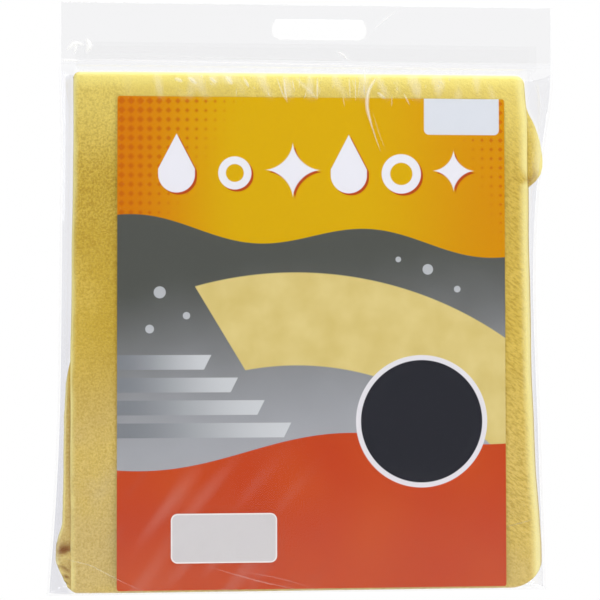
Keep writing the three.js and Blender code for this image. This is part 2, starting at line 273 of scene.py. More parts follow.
def mix(a, b, share):
    return a + (b - a) * share


def along(shares, at):
    """The value that a table of (place, value) gives, with straight lines between its places."""
    if at <= shares[0][0]:
        return shares[0][1]
    for (start, first), (end, last) in zip(shares, shares[1:]):
        if at <= end:
            return mix(first, last, (at - start) / (end - start))
    return shares[-1][1]


def wave(x, z, size, seed):
    """A smooth wander between -1 and 1 with bumps of about that size."""
    return noise.noise(Vector((x / size, z / size, seed)))


def bump(x, z, size, seed):
    """The same wander between 0 and 1."""
    return 0.5 + 0.5 * wave(x, z, size, seed)


def bell(away):
    """1 in the middle of a mark and next to nothing at twice its width."""
    return math.exp(-away ** 2)


# The skin's corners are round, and its left edge stands in a little towards the top
round_low = 21 * MM
round_top = 4.5 * MM
round_left = 3.6 * MM
corner_zone_share = 2.5
top_draw = 1.5 * MM
top_draw_range = (0.6, 0.1)


def round_corner(x, z):
    """Draws a height in near a side, so that the skin ends in round corners there."""
    low = z < (skin_top + skin_bottom) / 2
    at_left = x < (skin_left + skin_right) / 2
    radius = round_left if at_left else (round_low if low else round_top)
    past = skin_left + radius - x if at_left else x - (skin_right - radius)
    past = min(max(past, 0), radius)
    drawn = radius - math.sqrt(radius ** 2 - past ** 2)
    away = z - skin_bottom if low else skin_top - z
    kept = max(0, 1 - away / (corner_zone_share * radius))
    return z + (drawn if low else -drawn) * kept


def drawn_in(down):
    """How far the left edge stands in from skin_left. Down is 0 at the skin's top and 1 at its foot."""
    return top_draw * smooth(*top_draw_range, down)


# The front layer's rounded edges get a painted highlight where they would catch the light: wide at
# the right, narrow and uneven at the left
right_glow = 0.85
right_glow_range = (skin_right - 10.5 * MM, skin_right - 1 * MM)
front_range = (-0.22, -0.3)
left_glow = 0.42
left_glow_wander = 0.25
left_glow_bumps = (12 * MM, 9.4)
left_glow_range = (skin_left + 4.5 * MM, skin_left)
edge_glows = (0.95, 0.45)
edge_glow_fades = (0.6, 0.85)
edge_glow_range = (skin_left + 1.2 * MM, skin_left + 0.1 * MM)


def edge_glow(x, z, behind, down):
    right = right_glow * smooth(*right_glow_range, x) * smooth(*front_range, behind)
    left = (left_glow + left_glow_wander * wave(z, 0, *left_glow_bumps)) * smooth(*left_glow_range, x)
    edge = mix(*edge_glows, smooth(*edge_glow_fades, down)) * smooth(*edge_glow_range, x)
    return max(right, left, edge)


# At the right the front of the fold stays straight, and a corner of the skin swells out behind it,
# past a groove that gets painted shade. A painted highlight makes the corner pale, most of all at its
# rim, and painted shadow darkens it where it tucks under at its foot
flare_out = 7.1 * MM
flare_width = 70 * MM
flare_shares = ((0, -0.36), (0.05, -0.2), (0.09, 0), (0.3, 0.02), (0.45, 0.08), (0.6, 0.22), (0.7, 0.37),
                (0.78, 0.52), (0.86, 0.8), (0.92, 0.97), (1, 1))
lump_out = 9 * MM
lump_shares = ((0.066, 0), (0.08, 0.2), (0.097, 0.47), (0.126, 0.79), (0.15, 0.94), (0.17, 1), (0.184, 0.95),
               (0.196, 0.78), (0.205, 0.5), (0.211, 0.2), (0.214, 0))
lump_front = (-0.2, -0.08)
lump_back = (0.2, 0.5)
lump_back_loss = 0.6
groove_deep = 1.1 * MM
groove_behind = -0.21
groove_wide = 0.035
groove_growth = 3
groove_shade = 0.4
under_ranges = ((0.185, 0.2), (0.218, 0.21), (-0.06, -0.16))
under_shade = 0.6
rim_ranges = ((0.07, 0.1), (0.2, 0.185), (-0.15, -0.04))
lump_highlight = 0.6
lump_rim_highlight = 0.35


def within(ranges, down, behind):
    """1 in a patch of the lump that has a top, a foot and a front, and 0 outside it."""
    top, foot, front = ranges
    return smooth(*top, down) * smooth(*foot, down) * smooth(*front, behind)


def right_side(behind, down, outermost):
    """How far the side fold stands out, and its painted shade less its painted highlight. Behind goes from
    -0.5 at its front to 0.5.
    """
    lump = along(lump_shares, down)
    bulge = lump * smooth(*lump_front, behind) * (1 - lump_back_loss * smooth(*lump_back, behind))
    groove = bell((behind - groove_behind) / groove_wide) * outermost * min(groove_growth * lump, 1)
    out = flare_out * along(flare_shares, down) + outermost * lump_out * bulge - groove_deep * groove
    highlight = outermost * bulge * (lump_highlight + lump_rim_highlight * within(rim_ranges, down, behind))
    painted_shade = max(groove_shade * groove, under_shade * outermost * within(under_ranges, down, behind))
    return out, painted_shade - highlight


# At the left the inner layers show below the middle, ruffled, and curl out near the foot. There they
# fold round a pit, with a few stripes that spread from it. The pit, the stripes, the tuck beside the
# front layer and the patch above the pit get painted shade; the lip below the pit and each layer's own
# left edge get a painted highlight
curl_reach = 10 * MM
curl_wander = 0.8 * MM
curl_bumps = (9 * MM, 3.1)
curl_full = 4 * MM
reach_shares = ((0, 0), (0.5, 0), (0.58, 0.24), (0.66, 0.46), (0.8, 0.48), (0.86, 0.54), (0.878, 0.62),
                (0.895, 0.79), (0.907, 0.9), (0.92, 0.95), (0.937, 0.91), (0.956, 0.72), (0.975, 0.47),
                (0.99, 0.18), (1, 0))
pit_x = -146.6 * MM
pit_z = -319.8 * MM
pit_lean = math.radians(18)
pit_long = 5.5 * MM
pit_wide = 3.1 * MM
pit_above_share = 1.7
pit_below_share = 0.7
pit_deep = 1.2 * MM
over_pit_ranges = ((12 * MM, 0), (-1 * MM, 0.5 * MM))
over_pit_side = (skin_left - 7 * MM, skin_left - 3 * MM)
over_pit_shade = 0.55
below_range = (1 * MM, -1.5 * MM)
beyond_range = (skin_left, skin_left - 3 * MM)
round_share = 0.7
lip_away = 3.3 * MM
lip_wide = 1.9 * MM
lip_mean = 0.8
lip_wander = 0.7
lip_bumps = (3 * MM, 4.9)
lip_rise = 2.2 * MM
lip_highlight = 0.55
stripe_pitch = 3.3 * MM
stripe_start = (4.5 * MM, 6.5 * MM)
stripe_deep = 1.3 * MM
stripe_loss = 0.15
front_ruffle = 1.2 * MM
front_ruffle_bumps = (13 * MM, 6.6)
back_ruffle = 1.4 * MM
back_ruffle_bumps = (16 * MM, 3.3)
tuck_wide = 2.2 * MM
tuck_full = 2 * MM
tuck_shade = 0.36
own_rim = (2.5 * MM, 0.3 * MM)
own_rim_highlight = 0.6


def curled(x, y, z, reach):
    """How far an inner layer's edge ruffles forwards, and the painted shade of its folds less its painted
    highlights.
    """
    lengthways = (x - pit_x) * math.cos(pit_lean) + (z - pit_z) * math.sin(pit_lean)
    sideways = (z - pit_z) * math.cos(pit_lean) - (x - pit_x) * math.sin(pit_lean)
    wide = pit_wide * (pit_above_share if sideways > 0 else pit_below_share)
    pit = bell(math.hypot(lengthways / pit_long, sideways / wide))
    below = smooth(*below_range, sideways)
    beyond = smooth(*beyond_range, x)
    away = math.hypot(lengthways * round_share, sideways)
    lip = bell((away - lip_away) / lip_wide) * below * (lip_mean + lip_wander * wave(x, z, *lip_bumps))
    stripe = (0.5 - 0.5 * math.cos(away / stripe_pitch * 2 * math.pi)) * smooth(*stripe_start, away) * below
    if y < skin_middle:
        folds = lip_rise * lip - stripe_deep * stripe + front_ruffle * wave(z, 0, *front_ruffle_bumps)
    else:
        folds = -back_ruffle * wave(z, 1, *back_ruffle_bumps)
    tucked = bell((x - skin_left) / tuck_wide) * smooth(0, tuck_full, reach)
    over_pit = smooth(*over_pit_side, x)
    for limits in over_pit_ranges:
        over_pit *= smooth(*limits, sideways)
    painted_shade = max(pit, tuck_shade * tucked, over_pit_shade * over_pit, stripe * beyond - stripe_loss)
    own_edge = skin_left - reach
    rim = smooth(own_edge + own_rim[0], own_edge + own_rim[1], x)
    highlight = (lip_highlight * lip + own_rim_highlight * rim) * (1 - pit)
    return beyond * folds - pit_deep * pit, painted_shade - highlight


# The bag presses the skin flat at the left and at the foot, and all of it is softly dented and sways
press_width = 40 * MM
left_press = 0.3
foot_press = 0.4
inner_draw = 1.4 * MM
inner_draw_width = 8 * MM
sway = 0.5 * MM
sway_bumps = (40 * MM, 1.7)
# Each dent's depth, the size of its bumps and its seed, on all the layers and on the inner ones
dents = ((0.55 * MM, 38 * MM, 5.2), (0.25 * MM, 14 * MM, 8.8))
inner_dents = ((1.1 * MM, 50 * MM, 2.4), (0.5 * MM, 18 * MM, 4.4))


def settled(x, y, z, inner):
    """Presses, flares and curls a point of the folded skin, and gives its painted shade, less its painted
    highlight.
    """
    leftness = smooth(skin_left + press_width, skin_left, x)
    rightness = smooth(skin_right - flare_width, skin_right - skin_depth / 2, x)
    outermost = smooth(skin_right - skin_depth, skin_right, x)
    z = mix(z, round_corner(x, z), max(rightness, leftness))
    down = (skin_top - z) / skin_height
    behind = (y - skin_middle) / skin_depth
    glow = edge_glow(x, z, behind, down)
    lowness = smooth(skin_bottom + 2 * press_width, skin_bottom, z)
    press = (1 - left_press * leftness) * (1 - foot_press * lowness)
    out, shade = right_side(behind, down, outermost)
    x += rightness * out
    ruffle = 0
    if inner:
        reach = curl_reach * along(reach_shares, down)
        x -= leftness * (reach + curl_wander * wave(z, y, *curl_bumps) * smooth(0, curl_full, reach))
        if reach > 0:
            ruffle, shade = curled(x, y, z, reach)
        if y < skin_middle:
            ruffle += inner_draw * smooth(skin_left + inner_draw_width, skin_left, x)
    elif y < skin_middle:
        shade -= glow
    x += sway * wave(z, y, *sway_bumps) + leftness * drawn_in(down)
    depth = (y - skin_middle) * press - ruffle
    dent = sum(deep * bump(x, z, *bumps) for deep, *bumps in dents)
    if inner:
        dent += sum(deep * wave(x, z, *bumps) for deep, *bumps in inner_dents)
    return Vector((x, skin_middle + depth + (-dent if depth > 0 else dent), z)), shade


# How the flat hide is folded, as shares of its width and length that the two folds take, and how far
# its ragged edge stops short: of the foot inside and at the back, and of the left edge by the hem
side_turn_share = 0.045
top_turn_share = 0.03
short_shares = ((0, 0), (0.05, 0), (0.1, 0.2), (0.17, 0.5), (0.27, 0.56), (0.38, 0.47), (0.5, 0.42),
                (0.62, 0.5), (0.74, 0.57), (0.85, 0.44), (0.92, 0.08), (1, 0))
back_short_shares = ((0, 0), (0.06, 0.005), (0.12, 0.024), (0.2, 0.056), (0.3, 0.091), (0.4, 0.117),
                     (0.48, 0.128), (0.56, 0.121), (0.64, 0.1), (0.7, 0.087), (0.76, 0.082), (0.82, 0.087),
                     (0.88, 0.101), (0.94, 0.127), (1, 0.16))
hem_mean = 7 * MM
hem_wander = 6 * MM
hem_bumps = (45 * MM, 7.3)
back_hem_bumps = (45 * MM, 9.3)
hem_start = (0, 0.15)
inner_hem_end = (0.45, 0.6)
edge_roll = 3.2 * MM


def skin_point(s, t):
    """Where a point of the flat hide lies once folded. s runs round the side fold from the left edge
    of the front to the left edge of the back, and t from the foot of the outer layer over the top
    fold to the foot of the inner one."""
    inner = t > 0.5
    back = s > 0.5
    spring = skin_top - pair_spread - skin_thick / 2
    past_top = abs(t - 0.5) - top_turn_share
    if past_top < 0:
        angle = (0.5 - t) / top_turn_share * math.pi / 2
        offset = pair_spread * math.sin(angle)
        z = spring + pair_spread * math.cos(angle)
        fallen = 0
    else:
        offset = -pair_spread if inner else pair_spread
        fallen = past_top / (0.5 - top_turn_share)
        short = along(short_shares, s) if inner else (along(back_short_shares, 2 * s - 1) if back else 0)
        z = mix(spring, skin_bottom, fallen * (1 - short * smooth(0, 1, fallen)))
    past_side = abs(s - 0.5) - side_turn_share
    if past_side < 0:
        angle = (s - 0.5) / side_turn_share * math.pi / 2
        x = fold_centre + (pair_middle + offset) * math.cos(angle)
        y = skin_middle + (pair_middle + offset) * math.sin(angle)
        return settled(x, y, z, inner)
    hem = 0
    if inner or back:
        hem = hem_mean + hem_wander * wave(z, s, *(back_hem_bumps if back else hem_bumps))
        hem *= smooth(*hem_start, fallen)
    if inner:
        hem *= 1 - smooth(*inner_hem_end, (skin_top - z) / skin_height)
    x = mix(fold_centre, skin_left + hem, past_side / (0.5 - side_turn_share))
    y = skin_middle + (pair_middle + offset) * (1 if back else -1)
    if not back and x < skin_left + edge_roll:
        angle = (1 - (x - skin_left) / edge_roll) * math.pi / 2
        outer_share = max(offset, 0) / pair_spread
        x = mix(x, skin_left + edge_roll * (1 - math.sin(angle)), outer_share)
        y += edge_roll * (1 - math.cos(angle)) * outer_share
    return settled(x, y, z, inner)


# Grid lines stand closer together at the folds, the left edges and the curled foot
column_shares = ((0, 0), (0.16, 0.055), (0.3, 0.42), (0.37, 0.46), (0.63, 0.54), (0.7, 0.58), (0.92, 0.95),
                 (1, 1))
row_shares = ((0, 0), (0.14, 0.1), (0.4, 0.48), (0.6, 0.52), (0.8, 0.86), (1, 1))
skin_columns = 200
skin_rows = 236
shape = bmesh.new()
bmesh.ops.create_grid(shape, x_segments=skin_columns, y_segments=skin_rows, size=0.5)
# Each point of the skin carries its painted shade, or below zero its painted highlight
painted_shade_and_highlight = shape.verts.layers.float.new("painted_shade_and_highlight")
for vert in shape.verts:
    s = along(column_shares, vert.co.x + 0.5)
    t = along(row_shares, vert.co.y + 0.5)
    vert.co, vert[painted_shade_and_highlight] = skin_point(s, t)
bmesh.ops.recalc_face_normals(shape, faces=shape.faces)
chamois = finish_mesh("folded_chamois", shape)
wall = chamois.modifiers.new("skin_thickness", "SOLIDIFY")
wall.thickness = skin_thick
wall.offset = 0


def paint(red, green, blue):
    """A colour given as it looks on a screen, 0 to 255, as the linear colour that a shader takes."""
    def linear(value):
        value /= 255
        return value / 12.92 if value <= 0.04045 else ((value + 0.055) / 1.055) ** 2.4
    return (linear(red), linear(green), linear(blue), 1)


def attribute(tree, name):
    """A number that the mesh carries at its points."""
    return Field(tree, wire(tree, "Attribute", attribute_name=name).outputs["Fac"])


def noise_field(tree, place, scale, detail, roughness=0.5):
    """Noise with about that many bumps to a unit of the place."""
    return Field(tree, made(tree, "TexNoise", {
        "Vector": place, "Scale": scale, "Detail": detail, "Roughness": roughness}))


# The leather is pebbled all over, with fine slanting wrinkles in its right-hand strip. It is paler
# towards its foot. Painted highlights make it paler and lemon towards its top, where the nap stands out
# and the light falls from above, and on its rounded edges; painted shade makes it brown deep in the folds
plain, pale, deep = paint(207, 177, 69), paint(229, 202, 101), paint(170, 135, 43)
# The second colour here is a painted highlight on edges and lips, the third painted shade in the folds
foot_colour, edge_highlight_colour, shade_brown = paint(222, 200, 137), paint(254, 243, 164), paint(122, 64, 0)
# The first two colours here are painted highlights towards the top; the third tints the real sheen
highlight_lemon, crest_highlight_colour, sheen_colour = paint(252, 238, 140), paint(254, 247, 196), paint(255, 242, 196)
wrinkle_lean = math.radians(-52)
wrinkle_stretch = 3.5
# Each tone's place in metres, or range of its noise, and how strong it gets
front_depths = (0.007, 0.004)
right_strip = (0.07, 0.1)
left_strip = (-0.095, -0.125)
foot_tone = (-0.18, -0.27, 0, 0.8)
# The next three tones are painted highlights, paler towards the top where the light falls from above
upper_highlight = (-0.1, -0.045, 0, 0.42)
top_highlight = (-0.044, -0.032, 0, 0.75)
crest_highlight = (-0.0345, -0.0316, 0, 0.4)
patch_tone = (0.42, 0.7, 0, 0.55)
pebble_range = (0.36, 0.68)
pebble_strengths = (-0.2, -0.09, 0.46, 0.8)
coarse_range = (0.44, 0.64)
coarse_strengths = (-0.15, -0.075, 0, 0.24)
nap_tone = (0.4, 0.7, 0, 0.25)
right_paleness = 0.5
wrinkle_tone = (0.42, 0.64, 0, 0.55)
edge_highlight_tone = (0, -0.7, 0, 0.8)
shade_tone = (0, 1, 0, 0.95)
material, tree = new_material("napped_chamois")
spot = own_place(tree)
at_x, at_y, at_z = (Field(tree, part) for part in wire(tree, "SeparateXYZ", {0: spot}).outputs)
slanted = made(tree, "Mapping", {
    "Vector": spot, "Rotation": (0, wrinkle_lean, 0), "Scale": (1, 1, wrinkle_stretch),
}, vector_type="TEXTURE")
patches = noise_field(tree, spot, scale=24, detail=3, roughness=0.6)
pebbles = noise_field(tree, spot, scale=760, detail=4, roughness=0.65)
nap = noise_field(tree, spot, scale=1500, detail=2, roughness=0.6)
grain = noise_field(tree, slanted, scale=820, detail=3, roughness=0.6)
folded = attribute(tree, "painted_shade_and_highlight")
at_right = at_x.ramp(*right_strip) * at_y.ramp(*front_depths)
at_left = at_z.ramp(*coarse_strengths) * at_x.ramp(*left_strip)
base = plain
for share, colour in (
        (at_z.ramp(*foot_tone), foot_colour),
        (patches.ramp(*patch_tone), pale),
        (pebbles.ramp(*pebble_range) * at_z.ramp(*pebble_strengths), deep),
        (nap.ramp(*nap_tone), deep),
        (at_right * right_paleness, pale),
        (grain.ramp(*wrinkle_tone) * at_right, deep),
        (at_z.ramp(*upper_highlight), highlight_lemon),
        (pebbles.ramp(*coarse_range) * at_left, deep),
        (at_z.ramp(*top_highlight), highlight_lemon),
        (at_z.ramp(*crest_highlight), crest_highlight_colour),
        # Painted highlight where the folds' number is below zero, painted shade where it is above zero
        (folded.ramp(*edge_highlight_tone), edge_highlight_colour),
        (folded.ramp(*shade_tone), shade_brown)):
    base = share.blend(base, colour)
# Each relief's noise, strength and height
reliefs = ((nap, 0.4, 0.3 * MM), (pebbles, 0.6, 0.9 * MM), (grain * at_right, 0.5, 0.5 * MM))
relief = {}
for height, strength, tall in reliefs:
    values = {"Height": height, "Strength": strength, "Distance": tall, **relief}
    relief = {"Normal": made(tree, "Bump", values)}
show(tree, made(tree, "BsdfPrincipled", {
    "Base Color": base, "Roughness": 0.92, "Sheen Weight": 0.3, "Sheen Roughness": 0.45,
    "Sheen Tint": sheen_colour, "Specular IOR Level": 0.15, **relief,
}))
chamois.data.materials.append(material)
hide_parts("chamois_leather")
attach(chamois, "skin")

# The insert card: one stiff sheet of white board, printed on its front in amber, grey and red with
# plain shapes of no meaning and left white on its back. It stands in front of the leather


def measured(tree, origin):
    """A place in mm from an origin, as a vector and as its parts sideways and up."""
    place = made(tree, "Mapping", {
        "Vector": own_place(tree), "Location": tuple(-origin / MM), "Scale": (1 / MM,) * 3})
    x, _, z = wire(tree, "SeparateXYZ", {0: place}).outputs
    return place, Field(tree, x), Field(tree, z)


def past_box(sideways, up, half_width, half_height, corner):
    """How far a place is from the inner box of a rectangle, whose round rim lies at its corner radius."""
    out_x = (sideways - (half_width - corner)).most(0)
    out_z = (up - (half_height - corner)).most(0)
    return (out_x * out_x + out_z * out_z).math("SQRT")


# Places and lengths on the print are in mm, from the middle of the card's top edge
card_low, card_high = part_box("insert_card")
half_wide = (card_high.x - card_low.x) / 2 / MM
material, tree = new_material("printed_board")
centred, px, pz = measured(tree, Vector(((card_low.x + card_high.x) / 2, 0, card_high.z)))


def circle(x, z, radius):
    """The signed distance from a circle, which is below zero inside it, as for the next shapes."""
    sideways, up = px - x, pz - z
    return (sideways * sideways + up * up).math("SQRT") - radius


def slanted_bar(x, z, half_width, half_height, slant):
    sideways = (px - x - (pz - z) * slant).size() - half_width
    return sideways.most((pz - z).size() - half_height)


# How a drop tapers, how far up its tip is, and what makes its sloping sides a distance
drop_taper = 0.52
drop_tip = 1.16
drop_even = 0.887


def drop(x, z, radius):
    """A drop with its point upwards."""
    sideways, up = (px - x).size(), pz - z
    point = (sideways + up * drop_taper - radius * drop_tip) * drop_even
    return circle(x, z, radius).least(point.most(up * -1).most(sideways - radius))


sparkle_power = 0.6
sparkle_even = 1.2
above_zero = 0.01


def sparkle(x, z, radius):
    """A star with four hollow sides."""
    sideways, up = ((part.size() + above_zero).math("POWER", sparkle_power) for part in (px - x, pz - z))
    return (sideways + up - radius ** sparkle_power) * sparkle_even


amber, orange, dot_red = paint(213, 169, 8), paint(207, 121, 6), paint(192, 92, 12)
right_orange = (20, half_wide, 0, 0.62)
left_orange = (-40, -half_wide, 0, 1)
art = px.ramp(*right_orange).most(px.ramp(*left_orange)).blend(amber, orange)
# Diamonds in rows that grow towards the upper left and the right edge
pitch = 5.6
left_growth, left_rise = (10, 110, 0, 0.42), 0.5
right_growth, right_rise = (60, 112, 0, 0.3), 0.35
diamond_edge = 0.05
diamond_start = (0, 0.2)
diamond_share = 0.7
row_x, row_z = (((part * (1 / pitch)).math("PINGPONG", 1) - 0.5).size() for part in (px, pz))
growth = (px * -1 + pz * left_rise).ramp(*left_growth).most((px + pz * right_rise).ramp(*right_growth))
diamonds = (row_x + row_z - growth).inside(diamond_edge) * growth.ramp(*diamond_start)
art = (diamonds * diamond_share).blend(art, dot_red)


def wavy_line(pace, start, swell, slope, height):
    """A line that waves across the card."""
    return (px * pace + start).math("SINE") * swell + px * slope + height


# The grey middle: a soft out-of-focus surface, with one broad pale yellow wipe across it
field_edge = 0.3
grey_top = wavy_line(pace=0.045, start=0, swell=6.5, slope=-0.06, height=-84)
grey_foot = wavy_line(pace=0.03, start=1.2, swell=7, slope=0.07, height=-211)
cloud_strength, cloud_x_slope, cloud_z_slope = 0.25, 0.001, -0.009
cloud_range = (0.95, 2.1)
wipe_x, wipe_z, wipe_radius, wipe_half, wipe_edge = -10, -330, 196, 28, 0.4
wipe_slant, wipe_start = 0.6, (-140, -139.2)
dots = ((-92, -118, 3.6), (-76, -132, 2.2), (-98, -140, 2.6), (70, -104, 3.2), (88, -116, 2), (52, -98, 1.7))
dot_share, dot_white = 0.55, paint(228, 232, 238)
clouds = noise_field(tree, centred, scale=0.02, detail=2)
blur = (clouds * cloud_strength + px * cloud_x_slope + pz * cloud_z_slope).ramp(*cloud_range)
ring = circle(wipe_x, wipe_z, wipe_radius).size() - wipe_half
wipe = ring.inside(wipe_edge) * (px + pz * wipe_slant).ramp(*wipe_start)
streaks = noise_field(tree, centred, scale=0.06, detail=4).blend(paint(200, 178, 100), paint(228, 211, 146))
greys = wipe.blend(blur.blend(paint(82, 84, 80), paint(166, 168, 174)), streaks)
for dot in dots:
    greys = (circle(*dot).inside() * dot_share).blend(greys, dot_white)
art = (pz - grey_top).inside(field_edge).blend(art, greys)
reds = noise_field(tree, centred, scale=0.018, detail=1).blend(paint(186, 58, 32), paint(200, 84, 38))
art = (pz - grey_foot).inside(field_edge).blend(art, reds)

# The row of plain white shapes, each with a red-brown shadow down to its right, and two with a hole
motifs = ((drop, -82, -47, 11), (circle, -47, -46, 10), (sparkle, -12, -44, 17), (drop, 22, -47, 11),
          (circle, 54, -46, 12), (sparkle, 86, -44, 13))
holes = ((-47, -46, 5.4), (54, -46, 6.8))
shadow_shift = 1.3
for fill, shift in ((paint(178, 70, 24), shadow_shift), (paint(230, 230, 238), 0)):
    for outline, x, z, radius in motifs:
        art = outline(x + shift, z - shift, radius).inside().blend(art, fill)
for hole in holes:
    art = circle(*hole).inside().blend(art, amber)

# The bare white plate at the top, the dark disc and the silver bars
plate_x, plate_half, plate_deep, plate_corner = 91, 23, 22, 3
plate = past_box((px - plate_x).size(), pz * -1, plate_half, plate_deep, plate_corner) - plate_corner
art = plate.inside().blend(art, paint(215, 219, 227))
disc_x, disc_z, disc_radius, disc_rim = 66, -196, 37, 3
art = circle(disc_x, disc_z, disc_radius + disc_rim).inside().blend(art, paint(226, 224, 230))
art = circle(disc_x, disc_z, disc_radius).inside().blend(art, paint(42, 43, 50))
bar_halves = (30, 38, 46, 54)
bar_top, bar_pitch, bar_half_height, bar_slant, bar_overhang = -160, 13.6, 4.4, 0.5, 6
for n, half in enumerate(bar_halves):
    x, z = half - half_wide - bar_overhang, bar_top - bar_pitch * n
    bar = slanted_bar(x, z, half, bar_half_height, bar_slant)
    silver = px.ramp(-half_wide, 2 * half - half_wide).blend(paint(128, 132, 138), paint(204, 207, 211))
    art = bar.inside().blend(art, silver)
# Only the side that faces forwards is printed
forwards = (-0.6, -0.4, 1, 0)
pulp_tall = 0.1 * MM
normal = wire(tree, "NewGeometry").outputs["Normal"]
front = Field(tree, wire(tree, "SeparateXYZ", {0: normal}).outputs[1]).ramp(*forwards)
pulp = noise_field(tree, centred, scale=1.4, detail=3)
surface = made(tree, "Bump", {"Height": pulp, "Strength": 0.12, "Distance": pulp_tall})
show(tree, made(tree, "BsdfPrincipled", {
    "Base Color": front.blend(paint(226, 226, 222), art), "Roughness": 0.6, "Normal": surface,
    "Specular IOR Level": 0.05,
}))


def dress(node, material):
    """Gives a CAD node its material."""
    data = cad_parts[node].data
    data.materials.clear()
    data.materials.append(material)


dress("insert_card", material)

# The stuck-on label: a blank white self-adhesive paper rectangle with round corners and a paler
# cut rim, pressed flat on the card's red foot
label_low, label_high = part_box("size_label")
label_half = (label_high - label_low) / 2 / MM
label_corner = 4
rim_range = (label_corner - 1.1, label_corner - 0.5)
material, tree = new_material("label_paper")
centred, px, pz = measured(tree, (label_low + label_high) / 2)
rim = past_box(px.size(), pz.size(), label_half.x, label_half.z, label_corner).ramp(*rim_range)
fibres = noise_field(tree, centred, scale=0.9, detail=4).blend(paint(204, 201, 203), paint(212, 209, 211))
show(tree, made(tree, "BsdfPrincipled", {
    "Base Color": rim.blend(fibres, paint(242, 236, 234)), "Roughness": 0.6, "Specular IOR Level": 0.15}))
dress("size_label", material)

# The bag's clear film: one thin web that makes the front with the header's front ply, and the back.
# It rounds over the leather at the sides and the foot, gathers in small vertical folds below the
# weld, and keeps a few sharp creases. Where it is creased it turns a little milky, and the same milk
# also paints glints on the creases and on the folds below the weld
film_thick = 0.1 * MM
bag_half = 150 * MM
left_flare = 7.5 * MM
waist_pull = 9.1 * MM
bead_wide = 1.2 * MM
film_clear = 0.5 * MM
shoulder = 12 * MM
weld_foot = -28 * MM
crease_top = -345.4 * MM
header_top = 9.5 * MM
back_top = -31.5 * MM
header_film = -0.35 * MM
front_film = 0.3 * MM
back_film = 20.6 * MM
seam_depth = 10.45 * MM
seam_split = 0.35 * MM
sweep_back = 45 * MM
foot_round_front = 2.2 * MM
foot_round_back = 5 * MM
calm_beside = 6 * MM
calm_above = 4 * MM
pull_shares = ((0, 0), (0.04, 0), (0.06, 0.02), (0.085, 0.07), (0.11, 0.15), (0.145, 0.3), (0.19, 0.55),
               (0.24, 0.73), (0.29, 0.88), (0.35, 0.97), (0.42, 1), (0.5, 0.94), (0.58, 0.85), (0.66, 0.75),
               (0.74, 0.67), (0.82, 0.59), (0.88, 0.52), (0.94, 0.46), (1, 0.41))
left_shares = ((0, 0), (0.145, 0), (0.19, 0.01), (0.24, 0.02), (0.29, 0.03), (0.35, 0.04), (0.42, 0.06),
               (0.5, 0.09), (0.58, 0.12), (0.66, 0.18), (0.74, 0.29), (0.82, 0.46), (0.88, 0.62),
               (0.94, 0.81), (1, 1))


def bag_down(z):
    """0 at the weld and above it, 1 at the bag's foot."""
    return min(max((weld_foot - z) / (weld_foot - crease_top), 0), 1)


# The film's relief, as each wave's rise, size and seed, and the strip below the weld that is gathered
film_waves = ((0.35 * MM, 30 * MM, 11.5), (0.16 * MM, 11 * MM, 12.5))
gather_rise = 0.5 * MM
gather_stretch = 0.2
gather_bumps = (5 * MM, 3.9)
gather_limits = ((-31 * MM, -36 * MM), (-62 * MM, -50 * MM))
pleat_limits = ((-30 * MM, -35 * MM), (-50 * MM, -42 * MM))
gather_middle = 12 * MM
gather_half = (130 * MM, 90 * MM)


def gathered(x, z, limits):
    """1 in a strip below the weld and 0 away from it."""
    top, foot = limits
    return smooth(*top, z) * smooth(*foot, z) * smooth(*gather_half, abs(x - gather_middle))


def film_relief(x, z, front):
    """How far the film stands out from its smooth shape."""
    rise = sum(tall * bump(x, z, *bumps) for tall, *bumps in film_waves)
    if front:
        rise += gather_rise * gathered(x, z, gather_limits) * bump(x, z * gather_stretch, *gather_bumps)
    return rise


# How milky the film is in each place, and where that is. The slanting smears are haze with painted
# glare, and the pleats below the weld carry painted highlights, both as milk
clear_haze = 0.001
low_haze, low_range = 0.012, (-260 * MM, -335 * MM)
smear_haze_and_glare, smear_range = 0.045, (-240 * MM, -300 * MM)
smear_sides = ((20 * MM, -40 * MM), (-135 * MM, -120 * MM))
smear_behind_share = 0.5
smear_along, smear_across, smear_stretch = 0.77, 0.64, 0.16
smear_bumps = (9 * MM, 4.7)
pleat_highlight, pleat_range = 0.12, (0, 0.45)
pleat_lean, pleat_stretch = 0.25, 0.3
pleat_bumps = (6.5 * MM, 3.9)


def film_haze(x, z, front):
    """How milky the film is: hardly at all above and more low down, with haze and painted glare in slanting
    smears at the lower left and painted highlights on the pleats.
    """
    across_smear = x * smear_along - z * smear_across
    along_smear = x * smear_across + z * smear_along
    smear = max(wave(across_smear, along_smear * smear_stretch, *smear_bumps), 0)
    haze = clear_haze + low_haze * smooth(*low_range, z)
    if not front:
        return haze + smear_haze_and_glare * smooth(*smear_range, z) * smear_behind_share * smear
    for side in smear_sides:
        smear *= smooth(*side, x)
    pleats = smooth(*pleat_range, wave(x + pleat_lean * z, z * pleat_stretch, *pleat_bumps))
    pleats *= pleat_highlight * gathered(x, z, pleat_limits)
    return haze + smear_haze_and_glare * smooth(*smear_range, z) * smear + pleats


left_tint_shares = ((0, 0.48), (0.4, 0.55), (0.55, 0.75), (0.75, 0.95), (0.92, 0.95), (1, 0.75))
right_tint_shares = ((0, 0.36), (0.3, 0.5), (0.5, 0.6), (0.75, 0.85), (0.9, 0.85), (1, 0.42))
header_tint = 0.3
header_end = (-28 * MM, -33 * MM)
gap_start = (-2 * MM, 0)


